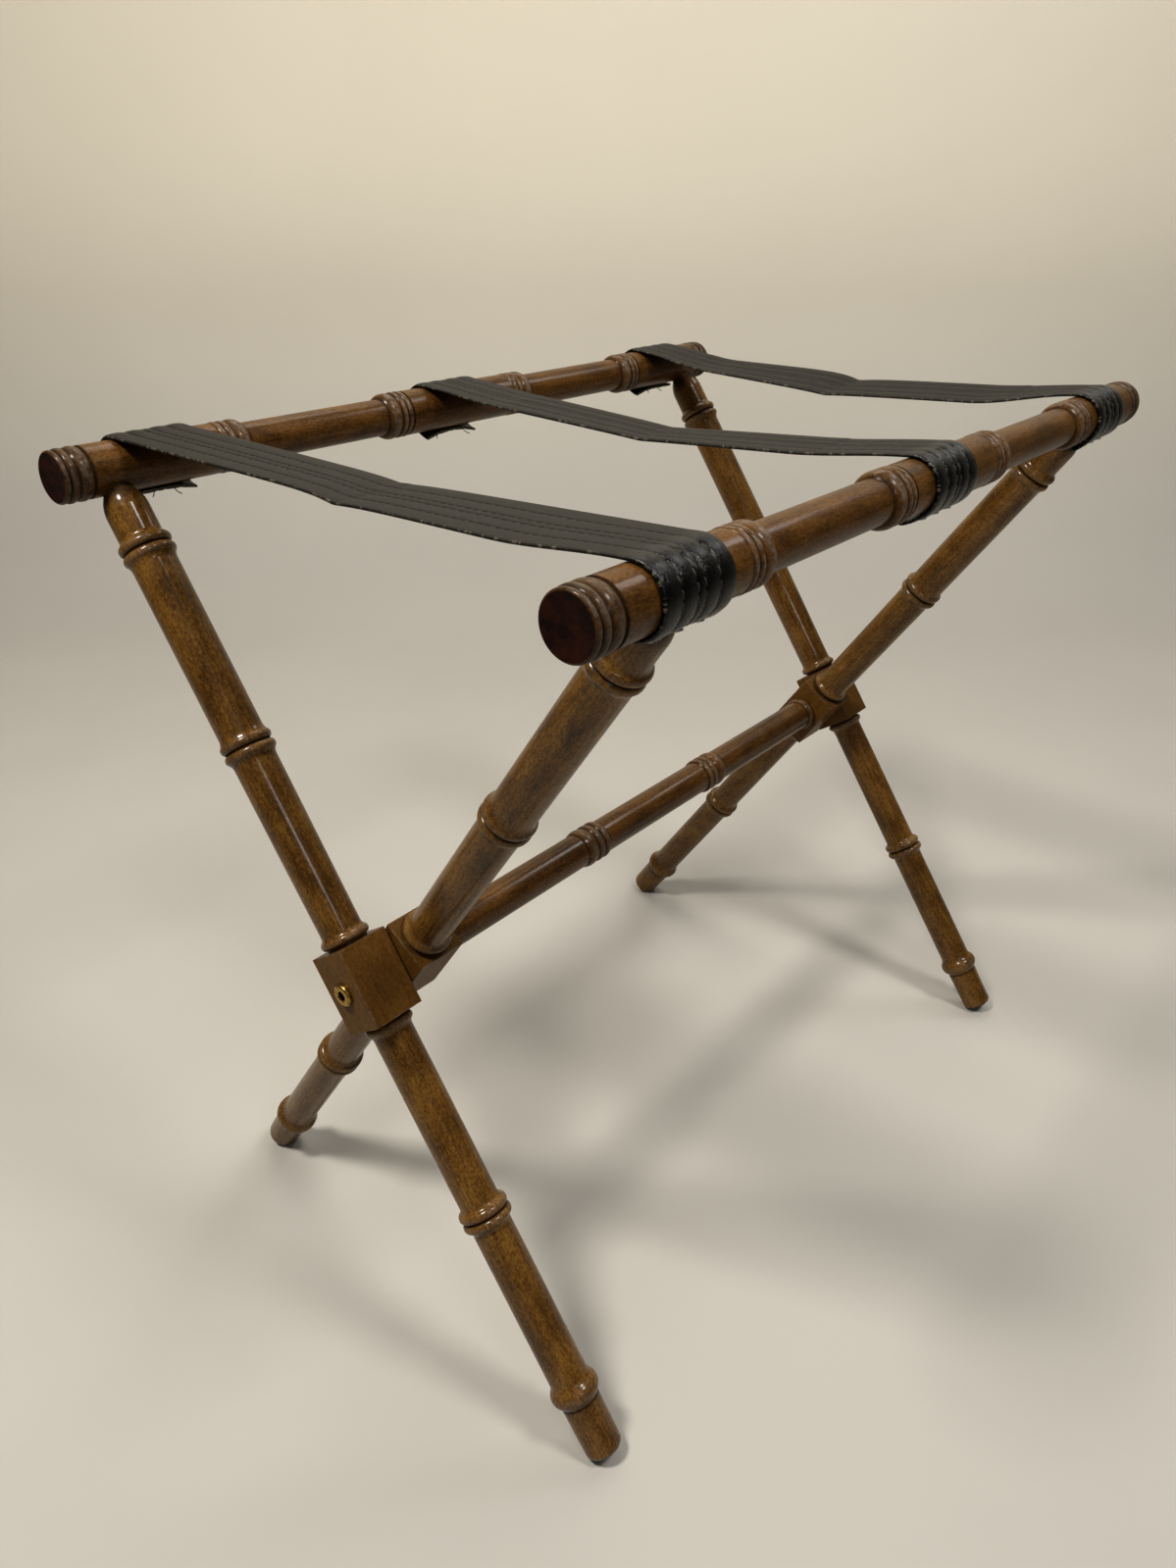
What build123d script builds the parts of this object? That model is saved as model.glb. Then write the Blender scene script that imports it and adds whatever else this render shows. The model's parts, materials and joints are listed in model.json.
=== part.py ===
"""Folding luggage rack: two crossed frames of turned, bamboo-style wood, joined by a pivot bolt on each
side and held open by three straps. Millimetres, +Z up. X runs along the rails, Y across the rack, and the
origin is on the floor, midway between the four feet."""

import os
from math import acos, asin, atan2, cos, degrees, hypot, radians, sin, sqrt

from build123d import *

# ---------------------------------------------------------------- driving dimensions

# Rails
rail_length = 606.0
rail_radius = 14.75
waist_radius = 12.0
rail_half_spacing = 185.5
rail_bead_radius = 15.15
rail_groove_radius = 13.7
inner_beads_x = 50.2
outer_beads_x = 202.0
end_rings_length = 18.0
bead_widths = (4.8, 4.8, 10.6)
ring_widths = (8.4, 5.4)
end_dish_radius = 13.0
end_dish_depth = 1.0

# Legs. Distances along a leg run from its rail's centre line down to the foot.
rail_to_pivot = 326.0
leg_length = 642.0
outer_leg_x = 271.0
neck_radius = 12.55
upper_radius = 13.2
middle_radius = 12.9
lower_radius = 12.2
foot_radius = 11.7
leg_bead_radius = 15.4
block_bead_radius = 14.9
upper_beads = 50.6
middle_beads = 175.0
lower_beads = 480.0
foot_bead = 599.5
foot_rounding = 4.0
foot_wear = 0.4
tenon_radius = 6.0
tenon_top = 2.0
glue_gap = 0.1

# Square blocks where the legs cross
block_width = 33.3
block_length = 49.0
block_chamfer = 0.7
pivot_gap = 1.5

# Pivot hardware
bolt_radius = 3.0
bolt_length = 70.0
bolt_head_radius = 7.0
bolt_head_height = 2.4
bolt_head_rounding = 1.5
bolt_socket_width = 5.0
bolt_socket_depth = 1.9
bolt_socket_mouth = 3.4
running_gap = 0.06
head_gap = 0.2
washer_radius = 10.0
washer_thickness = 1.3
insert_radius = 4.5
insert_length = 14.0

# Stretcher between the inner legs, in line with the pivot bolts
stretcher_radius = 11.9
stretcher_bead_radius = 13.5
stretcher_groove_radius = 12.2
stretcher_beads_x = 60.0
stretcher_bead_widths = (6.4, 6.4, 11.0)
collar_width = 8.4
stretcher_tenon_radius = 9.0
stretcher_tenon_length = 12.0

# Straps
strap_width = 48.0
strap_thickness = 2.0
strap_clearance = 0.3
strap_tail_angle = 87.0
strap_crease_y = -8.0
strap_crease_radius = 30.0
straps = {"near": (-242.0, 7.0), "middle": (-7.0, 11.0), "far": (237.0, 12.0)}

# Tacks that hold each strap end under a rail
tack_head_radius = 2.6
tack_head_height = 0.9
tack_shank_radius = 0.7
tack_shank_length = 8.0
tack_hole_radius = 1.05
tack_spacing = 15.0
tack_angle = 73.0

# ---------------------------------------------------------------- derived positions

OUTER = 1
INNER = -1
frames = {"outer": OUTER, "inner": INNER}
rails = {"back": OUTER, "front": INNER}
sides = {"near": -1, "far": 1}
X = Vector(1, 0, 0)

lean = asin(rail_half_spacing / rail_to_pivot)
foot_drop = (
    (leg_length - rail_to_pivot - foot_rounding) * cos(lean)
    + (foot_radius - foot_rounding) * sin(lean)
    + foot_rounding
)
pivot_height = foot_drop - foot_wear
rail_height = pivot_height + rail_to_pivot * cos(lean)
block_top = rail_to_pivot - block_length / 2
block_bottom = rail_to_pivot + block_length / 2
inner_leg_x = outer_leg_x - block_width - pivot_gap
inner_face_x = inner_leg_x - block_width / 2
outer_face_x = outer_leg_x + block_width / 2
strap_radius = rail_radius + strap_clearance + strap_thickness / 2
tack_seat_radius = rail_radius + 2 * strap_clearance + strap_thickness

os.makedirs("parts", exist_ok=True)


def save(part, name):
    """Label a finished piece and write its STEP file."""
    part.label = name
    export_step(part, f"parts/{name}.step")


# ---------------------------------------------------------------- outlines of turned work
# An outline is drawn in a plane whose x is the distance along the piece and whose y is the radius. Each
# function draws one stretch, starting where the one before it stopped, and returns where it stops.


def straight(start, distance, radius):
    """A plain or tapered stretch."""
    Line(start, (distance, radius))
    return (distance, radius)


def arc(start, crest, end):
    """One arc through a crest: a bead, a hollow or a dome."""
    ThreePointArc(start, crest, end)
    return end


def bead_pair(start, centre, radius_after):
    """Two beads with a sharp groove between them, flared into the shaft on both sides."""
    flare, hollow, shoulder, crest = 9.5, 7.3, 5.6, 3.4
    shoulder_radius = leg_bead_radius - 1.1
    groove_radius = leg_bead_radius - 2.6
    at = straight(start, centre - flare, start[1])
    at = arc(at, (centre - hollow, start[1] + 0.35), (centre - shoulder, shoulder_radius))
    at = arc(at, (centre - crest, leg_bead_radius), (centre, groove_radius))
    at = arc(at, (centre + crest, leg_bead_radius), (centre + shoulder, shoulder_radius))
    return arc(at, (centre + hollow, radius_after + 0.35), (centre + flare, radius_after))


def bead_row(start, widths, crest_radius, groove_radius, end_radius):
    """Half-round beads side by side, with fine grooves between them, ending at end_radius."""
    at = start
    for index, width in enumerate(widths):
        radius = end_radius if index == len(widths) - 1 else groove_radius
        at = arc(at, (at[0] + width / 2, crest_radius), (at[0] + width, radius))
    return at


# ---------------------------------------------------------------- legs


def leg_direction(frame):
    """The direction down a leg of the outer or inner frame."""
    return Vector(0, -frame * sin(lean), -cos(lean))


def leg_point(frame, x, distance):
    """A point on a leg's centre line, a distance down from its rail's centre line."""
    return Vector(x, frame * rail_half_spacing, rail_height) + leg_direction(frame) * distance


def outline_plane(frame, x):
    """The plane of a leg's outline: its x runs down the leg and its y along the rail."""
    down = leg_direction(frame)
    return Plane(origin=leg_point(frame, x, 0), x_dir=down, z_dir=down.cross(X))


def across_leg(frame, x, distance):
    """A plane square to a leg, facing down it."""
    return Plane(origin=leg_point(frame, x, distance), x_dir=X, z_dir=leg_direction(frame))


def leg_x(frame, side):
    return side * (outer_leg_x if frame == OUTER else inner_leg_x)


def leg_outline():
    """Half section of a leg, from the blunt nose under the rail to the rounded foot."""
    nose_start, nose_end, dome_bottom = 10.0, 15.2, 26.0
    at = straight((nose_start, 0), nose_start, 6.4)
    at = straight(at, nose_end, 8.9)
    at = arc(at, (19.6, 11.1), (dome_bottom, neck_radius))
    at = bead_pair(at, upper_beads, upper_radius)
    at = bead_pair(at, middle_beads, middle_radius)
    # A single bead above the block and one below it, each with a dark groove at the block's shoulder.
    at = straight(at, block_top - 9.5, lower_radius + 0.2)
    at = arc(at, (block_top - 7.6, lower_radius + 0.6), (block_top - 6.2, 13.9))
    at = arc(at, (block_top - 4.0, block_bead_radius), (block_top - 1.2, lower_radius))
    at = straight(at, block_bottom + 1.2, lower_radius)
    at = arc(at, (block_bottom + 3.6, block_bead_radius), (block_bottom + 6.0, 13.7))
    at = arc(at, (block_bottom + 7.4, lower_radius + 0.4), (block_bottom + 9.3, lower_radius))
    at = bead_pair(at, lower_beads, lower_radius)
    # The last bead stands above the slimmer foot.
    at = straight(at, foot_bead - 9.5, lower_radius)
    at = arc(at, (foot_bead - 6.6, lower_radius + 0.4), (foot_bead - 4.6, 13.7))
    at = arc(at, (foot_bead, leg_bead_radius), (foot_bead + 4.6, 13.7))
    at = arc(at, (foot_bead + 6.2, lower_radius + 0.3), (foot_bead + 8.2, lower_radius))
    at = straight(at, leg_length - foot_rounding, foot_radius)
    turn = foot_rounding * (1 - sqrt(0.5))
    at = arc(at, (leg_length - turn, foot_radius - turn), (leg_length, foot_radius - foot_rounding))
    at = straight(at, leg_length, 0)
    Line(at, (nose_start, 0))


for frame_name, frame in frames.items():
    for side_name, side in sides.items():
        x = leg_x(frame, side)
        leg_axis = Axis(leg_point(frame, x, 0), leg_direction(frame))
        with BuildPart() as leg:
            with BuildSketch(across_leg(frame, x, block_top)):
                Rectangle(block_width, block_width)
            extrude(amount=block_length)
            chamfer(leg.edges().filter_by(leg_axis), block_chamfer)
            with BuildSketch(outline_plane(frame, x)):
                with BuildLine():
                    leg_outline()
                make_face()
            revolve(axis=leg_axis)
            # The nose is coped to sit against the underside of the rail, and a tenon runs on into it.
            with BuildSketch(Plane.YZ):
                with Locations((frame * rail_half_spacing, rail_height)):
                    Circle(rail_radius + glue_gap)
            extrude(amount=rail_length, both=True, mode=Mode.SUBTRACT)
            with BuildSketch(across_leg(frame, x, tenon_top)):
                Circle(tenon_radius)
            extrude(amount=rail_radius)
            # The bolt turns in the outer legs and is held in the inner ones.
            with BuildSketch(Plane.YZ):
                with Locations((0, pivot_height)):
                    Circle(bolt_radius + (running_gap if frame == OUTER else glue_gap))
            extrude(amount=rail_length, both=True, mode=Mode.SUBTRACT)
            if frame == INNER:
                with BuildSketch(Plane.YZ.offset(side * inner_face_x)):
                    with Locations((0, pivot_height)):
                        Circle(stretcher_tenon_radius + glue_gap)
                extrude(amount=side * (stretcher_tenon_length + 0.5), mode=Mode.SUBTRACT)
            # The edge of the foot that meets the floor is worn to a small flat.
            split(bisect_by=Plane.XY, keep=Keep.TOP)
        save(leg.part, f"leg_{frame_name}_{side_name}")

# ---------------------------------------------------------------- rails


def rail_half_outline():
    """Half section of half a rail, from its middle to one end: thick where the straps go, slim between."""
    end = rail_length / 2
    at = straight((0, rail_radius), inner_beads_x, rail_radius)
    at = straight(at, inner_beads_x + 0.6, rail_groove_radius)
    at = bead_row(at, bead_widths, rail_bead_radius, rail_groove_radius, waist_radius)
    at = straight(at, outer_beads_x - 0.6 - sum(bead_widths), waist_radius)
    at = bead_row(at, bead_widths[::-1], rail_bead_radius, rail_groove_radius, rail_groove_radius)
    at = straight(at, outer_beads_x, rail_radius)
    at = straight(at, end - end_rings_length, rail_radius)
    at = straight(at, end - end_rings_length + 0.6, rail_groove_radius)
    at = bead_row(at, ring_widths, rail_bead_radius, rail_groove_radius, rail_groove_radius)
    # A rounded rim and a shallow spherical dish in the end grain.
    at = arc(at, (end - 1.2, rail_radius - 0.1), (end, rail_radius - 1.2))
    at = straight(at, end, end_dish_radius)
    sphere = (end_dish_radius**2 + end_dish_depth**2) / (2 * end_dish_depth)
    rise = sphere - sqrt(sphere**2 - (end_dish_radius / 2) ** 2)
    middle = (end - end_dish_depth + rise, end_dish_radius / 2)
    return arc(at, middle, (end - end_dish_depth, 0))


def tack_direction(frame):
    """The way a tack's head faces: down and slightly outward from under a rail."""
    return Vector(0, frame * cos(radians(tack_angle)), -sin(radians(tack_angle)))


def tack_planes(frame, strap_x):
    """A plane on each tack's seat, facing away from the rail."""
    outward = tack_direction(frame)
    rail_centre = Vector(0, frame * rail_half_spacing, rail_height)
    return [
        Plane(origin=rail_centre + outward * tack_seat_radius + X * (strap_x + shift), x_dir=X, z_dir=outward)
        for shift in (-tack_spacing, 0, tack_spacing)
    ]


for rail_name, frame in rails.items():
    rail_y = frame * rail_half_spacing
    with BuildPart() as rail:
        with BuildSketch(Plane(origin=(0, rail_y, rail_height), x_dir=X, z_dir=(0, -1, 0))):
            with BuildLine():
                end = rail_half_outline()
                mirror(about=Plane.YZ)
                Line((-end[0], 0), end)
            make_face()
        revolve(axis=Axis((0, rail_y, rail_height), X))
        # Blind sockets for the leg tenons.
        for side in sides.values():
            with BuildSketch(across_leg(frame, leg_x(frame, side), tenon_top - 1)):
                Circle(tenon_radius + glue_gap)
            extrude(amount=2 * rail_radius, mode=Mode.SUBTRACT)
        # Pilot holes for the tacks.
        for strap_x, strap_sag in straps.values():
            for seat in tack_planes(frame, strap_x):
                with BuildSketch(seat):
                    Circle(tack_shank_radius + glue_gap / 2)
                extrude(amount=-(tack_shank_length + 0.5), mode=Mode.SUBTRACT)
    save(rail.part, f"rail_{rail_name}")

# ---------------------------------------------------------------- stretcher


def stretcher_half_outline():
    """Half section of half the stretcher, from its middle to the end of one tenon."""
    at = straight((0, stretcher_radius), stretcher_beads_x, stretcher_radius)
    at = bead_row(
        at, stretcher_bead_widths, stretcher_bead_radius, stretcher_groove_radius, stretcher_radius
    )
    at = straight(at, inner_face_x - collar_width - 1, stretcher_radius)
    at = bead_row(at, (collar_width,), stretcher_bead_radius, stretcher_radius, stretcher_radius)
    at = straight(at, inner_face_x, stretcher_radius)
    at = straight(at, inner_face_x, stretcher_tenon_radius)
    at = straight(at, inner_face_x + stretcher_tenon_length, stretcher_tenon_radius)
    return straight(at, inner_face_x + stretcher_tenon_length, 0)


tenon_end_x = inner_face_x + stretcher_tenon_length
with BuildPart() as stretcher:
    with BuildSketch(Plane(origin=(0, 0, pivot_height), x_dir=X, z_dir=(0, -1, 0))):
        with BuildLine():
            end = stretcher_half_outline()
            mirror(about=Plane.YZ)
            Line((-end[0], 0), end)
        make_face()
    revolve(axis=Axis((0, 0, pivot_height), X))
    for side in sides.values():
        with BuildSketch(Plane.YZ.offset(side * tenon_end_x)):
            with Locations((0, pivot_height)):
                Circle(insert_radius + glue_gap / 2)
        extrude(amount=-side * (insert_length + 1), mode=Mode.SUBTRACT)
save(stretcher.part, "stretcher")

# ---------------------------------------------------------------- pivot hardware, one set on each side

for side_name, side in sides.items():
    head_seat = outer_face_x + head_gap
    with BuildPart() as bolt:
        with BuildSketch(Plane.YZ.offset(side * head_seat)):
            with Locations((0, pivot_height)):
                Circle(bolt_head_radius)
        extrude(amount=side * bolt_head_height)
        rim = bolt.edges().filter_by(GeomType.CIRCLE).sort_by(Axis.X)[-1 if side > 0 else 0]
        fillet(rim, bolt_head_rounding)
        # A hexagon socket with a conical mouth.
        with BuildSketch(Plane.YZ.offset(side * (head_seat + bolt_head_height))):
            with Locations((0, pivot_height)):
                RegularPolygon(bolt_socket_width / 2, 6, major_radius=False)
        extrude(amount=-side * bolt_socket_depth, mode=Mode.SUBTRACT)
        with BuildSketch(Plane.YZ.offset(side * (head_seat + bolt_head_height))):
            with Locations((0, pivot_height)):
                Circle(bolt_socket_mouth)
        extrude(amount=-side * 0.8, taper=45, mode=Mode.SUBTRACT)
        with BuildSketch(Plane.YZ.offset(side * head_seat)):
            with Locations((0, pivot_height)):
                Circle(bolt_radius)
        extrude(amount=-side * bolt_length)
    save(bolt.part, f"pivot_bolt_{side_name}")

    with BuildPart() as washer:
        with BuildSketch(Plane.YZ.offset(side * (inner_leg_x + block_width / 2))):
            with Locations((0, pivot_height)):
                Circle(washer_radius)
                Circle(bolt_radius + glue_gap, mode=Mode.SUBTRACT)
        extrude(amount=side * washer_thickness)
    save(washer.part, f"pivot_washer_{side_name}")

    with BuildPart() as insert:
        with BuildSketch(Plane.YZ.offset(side * tenon_end_x)):
            with Locations((0, pivot_height)):
                Circle(insert_radius)
                Circle(bolt_radius + glue_gap / 5, mode=Mode.SUBTRACT)
        extrude(amount=-side * insert_length)
    save(insert.part, f"threaded_insert_{side_name}")

# ---------------------------------------------------------------- straps and their tacks


def tangent_angle(frame, crease):
    """Where a line from the crease touches the strap's path round a rail, in degrees up from outward."""
    across = frame * (crease[0] - frame * rail_half_spacing)
    distance = hypot(across, crease[1])
    return degrees(atan2(crease[1], across) - acos(strap_radius / distance))


def on_wrap(frame, angle):
    """A point of the strap's path round a rail, at an angle in degrees up from outward."""
    return (
        frame * (rail_half_spacing + strap_radius * cos(radians(angle))),
        strap_radius * sin(radians(angle)),
    )


for strap_name, (strap_x, sag) in straps.items():
    crease = (strap_crease_y, strap_radius - sag)
    leave = {frame: tangent_angle(frame, crease) for frame in (OUTER, INNER)}
    side_view = Plane(origin=(strap_x - strap_width / 2, 0, rail_height), x_dir=(0, 1, 0), z_dir=X)
    with BuildPart() as strap:
        with BuildSketch(side_view):
            with BuildLine() as path:
                for frame, angle in leave.items():
                    middle = (angle - strap_tail_angle) / 2
                    ThreePointArc(
                        on_wrap(frame, -strap_tail_angle), on_wrap(frame, middle), on_wrap(frame, angle)
                    )
                FilletPolyline(
                    on_wrap(OUTER, leave[OUTER]),
                    crease,
                    on_wrap(INNER, leave[INNER]),
                    radius=strap_crease_radius,
                )
            trace(line_width=strap_thickness)
        extrude(amount=strap_width)
        for frame in (OUTER, INNER):
            for seat in tack_planes(frame, strap_x):
                with BuildSketch(seat):
                    Circle(tack_hole_radius)
                extrude(amount=-2 * strap_thickness, mode=Mode.SUBTRACT)
    save(strap.part, f"strap_{strap_name}")

    for rail_name, frame in rails.items():
        with BuildPart() as tacks:
            for seat in tack_planes(frame, strap_x):
                with BuildSketch(seat):
                    Circle(tack_head_radius)
                extrude(amount=tack_head_height)
                with BuildSketch(seat):
                    Circle(tack_shank_radius)
                extrude(amount=-tack_shank_length)
        save(tacks.part, f"tacks_{rail_name}_{strap_name}")
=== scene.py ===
"""The looks of the folding luggage rack: lacquered turned wood, brass bolts, and three stitched vinyl
straps built as meshes over the rails. Metres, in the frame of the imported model."""

import json
import math
import random
from collections import namedtuple

import bmesh
import bpy
from mathutils import Euler, Matrix, Vector


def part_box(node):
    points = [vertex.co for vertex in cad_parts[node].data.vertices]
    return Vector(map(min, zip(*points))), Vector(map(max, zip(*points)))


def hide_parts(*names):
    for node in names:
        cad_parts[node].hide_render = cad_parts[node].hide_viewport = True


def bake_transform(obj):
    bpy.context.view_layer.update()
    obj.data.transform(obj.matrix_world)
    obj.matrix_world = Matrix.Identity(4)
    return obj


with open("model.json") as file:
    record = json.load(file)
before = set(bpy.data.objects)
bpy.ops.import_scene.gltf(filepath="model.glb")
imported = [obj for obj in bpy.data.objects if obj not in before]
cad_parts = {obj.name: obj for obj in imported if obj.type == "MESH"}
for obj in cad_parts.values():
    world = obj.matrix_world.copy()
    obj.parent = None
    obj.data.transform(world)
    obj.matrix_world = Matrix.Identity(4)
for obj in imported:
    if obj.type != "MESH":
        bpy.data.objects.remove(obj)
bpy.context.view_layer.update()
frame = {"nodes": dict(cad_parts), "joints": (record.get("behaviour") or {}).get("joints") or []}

MM = 0.001
X, Y, Z = Vector((1, 0, 0)), Vector((0, 1, 0)), Vector((0, 0, 1))

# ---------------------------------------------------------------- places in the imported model

pivot_height = frame["joints"][0]["pos_m"][2]
rail_low, rail_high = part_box("rail_back")
rail_centre = (rail_low + rail_high) / 2
rail_height = rail_centre.z
rail_half_spacing = rail_centre.y
rail_half_length = rail_high.x
outer_leg_x = sum(v.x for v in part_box("leg_outer_far")) / 2
inner_leg_x = sum(v.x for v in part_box("leg_inner_far")) / 2
lean = math.atan2(rail_half_spacing, rail_height - pivot_height)
rail_to_pivot = math.hypot(rail_half_spacing, rail_height - pivot_height)

# Sizes of the CAD pieces that their boxes don't give.
RAIL_RADIUS = 14.75 * MM
RAIL_CREST_RADIUS = 14.6 * MM
LEG_CREST_RADIUS = 14.5 * MM
STRETCHER_CREST_RADIUS = 13.0 * MM
BLOCK_HALF_WIDTH = 16.65 * MM
BLOCK_HALF_LENGTH = 24.5 * MM
LEG_LENGTH = 642 * MM
STRETCHER_HALF_LENGTH = 219.5 * MM


def srgb(red, green, blue):
    """A linear colour from 0-255 display values."""
    levels = [c / 255 for c in (red, green, blue)]
    return tuple(c / 12.92 if c <= 0.04045 else ((c + 0.055) / 1.055) ** 2.4 for c in levels) + (1.0,)


# ---------------------------------------------------------------- shader helpers


class Shader:
    """One node material. Each method adds a node and returns its output socket."""

    def __init__(self, name):
        self.material = bpy.data.materials.new(name)
        self.material.use_nodes = True
        self.tree = self.material.node_tree
        self.surface = self.tree.nodes["Principled BSDF"]

    def node(self, kind, settings=None, output=0, **inputs):
        made = self.tree.nodes.new(kind)
        for name, value in (settings or {}).items():
            setattr(made, name, value)
        for name, value in inputs.items():
            self.put(made.inputs[name], value)
        return made.outputs[output]

    def put(self, socket, value):
        if isinstance(value, bpy.types.NodeSocket):
            self.tree.links.new(value, socket)
        else:
            socket.default_value = value

    def set(self, **inputs):
        """Sets or links inputs of the surface shader; an underscore in a name stands for a space."""
        for name, value in inputs.items():
            self.put(self.surface.inputs[name.replace("_", " ")], value)

    def math(self, operation, *values, clamp=False):
        made = self.tree.nodes.new("ShaderNodeMath")
        made.operation, made.use_clamp = operation, clamp
        for socket, value in zip(made.inputs, values):
            self.put(socket, value)
        return made.outputs[0]

    def vector(self, operation, *values, output=0):
        made = self.tree.nodes.new("ShaderNodeVectorMath")
        made.operation = operation
        for socket, value in zip(made.inputs, values):
            self.put(socket, value)
        return made.outputs[output]

    def dot(self, a, b):
        return self.vector("DOT_PRODUCT", a, b, output="Value")

    def scaled(self, vector, scale):
        return self.vector("MULTIPLY", vector, scale)

    def noise(self, vector, detail=2.0, roughness=0.5, distortion=0.0):
        return self.node(
            "ShaderNodeTexNoise",
            Vector=vector,
            Scale=1.0,
            Detail=detail,
            Roughness=roughness,
            Distortion=distortion,
        )

    def fit(self, value, low, high, to_low=0.0, to_high=1.0):
        """A smooth step from to_low to to_high as value goes from low to high."""
        made = self.tree.nodes.new("ShaderNodeMapRange")
        made.interpolation_type = "SMOOTHSTEP"
        for socket, v in zip(made.inputs, (value, low, high, to_low, to_high)):
            self.put(socket, v)
        return made.outputs[0]

    def near(self, value, centre, width):
        """1 where value is at centre, falling smoothly to 0 a width away."""
        away = self.math("ABSOLUTE", self.math("SUBTRACT", value, centre))
        return self.fit(away, 0.0, width, 1.0, 0.0)

    def most(self, values):
        top = values[0]
        for value in values[1:]:
            top = self.math("MAXIMUM", top, value)
        return top

    def product(self, *values):
        total = values[0]
        for value in values[1:]:
            total = self.math("MULTIPLY", total, value)
        return total

    def mix(self, factor, a, b):
        made = self.tree.nodes.new("ShaderNodeMix")
        made.data_type = "RGBA"
        self.put(made.inputs["Factor"], factor)
        self.put(made.inputs["A"], a)
        self.put(made.inputs["B"], b)
        return made.outputs["Result"]

    def ramp(self, value, stops):
        made = self.tree.nodes.new("ShaderNodeValToRGB")
        elements = made.color_ramp.elements
        while len(elements) < len(stops):
            elements.new(0.5)
        for element, (position, colour) in zip(elements, stops):
            element.position, element.color = position, colour
        self.put(made.inputs[0], value)
        return made.outputs[0]

    def bump(self, height, distance, strength):
        return self.node("ShaderNodeBump", Height=height, Distance=distance, Strength=strength)


# ---------------------------------------------------------------- wood

PALETTES = {
    "leg": (srgb(60, 40, 14), srgb(97, 67, 26), srgb(126, 94, 43)),
    "rail": (srgb(48, 30, 10), srgb(79, 52, 18), srgb(102, 71, 31)),
}
# This near black darkens the pores and the stained end rings, and paints the shade in the grooves.
GRIME_AND_SHADE = srgb(15, 9, 5)
# This pale grey is rubbed lacquer on the crests and block edges, and also paints the sheen the crests
# reflect.
SCUFF_AND_SHEEN = srgb(122, 110, 99)
END_GRAIN = (srgb(24, 9, 5), srgb(50, 21, 11))

# How much each layer of the figure adds to the tone.
CLOUD_SHARE, RING_SHARE, FIBRE_SHARE, FLECK_SHARE = 0.30, 0.07, 0.18, 0.45
TONE_LOW, TONE_HIGH = 0.37, 0.63
PORE_STRENGTH = 0.2
SCUFF_AND_SHEEN_STRENGTH = 0.66
PLAIN_BLOCK_SHARE = 0.6

# A rail's end rings are darker over this stretch from its end face.
END_RINGS_START, END_RINGS_FULL = 18.5 * MM, 15 * MM
END_RINGS_STAIN = 0.38

# What each kind of surface takes from the lacquer's shine.
SCUFF_DULL, DIRT_DULL, END_FACE_DULL, BLOCK_DULL = 0.26, 0.25, 0.30, 0.22
NO_LACQUER = 0.36
LACQUER_ROUGHNESS, LACQUER_IOR = 0.17, 1.45

# How dark a piece's grooves are with dirt and painted shade, how pale its crests are with wear and painted
# sheen, and the (distance along, width) of each.
Marks = namedtuple("Marks", "groove_dirt wear grooves crests")


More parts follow.
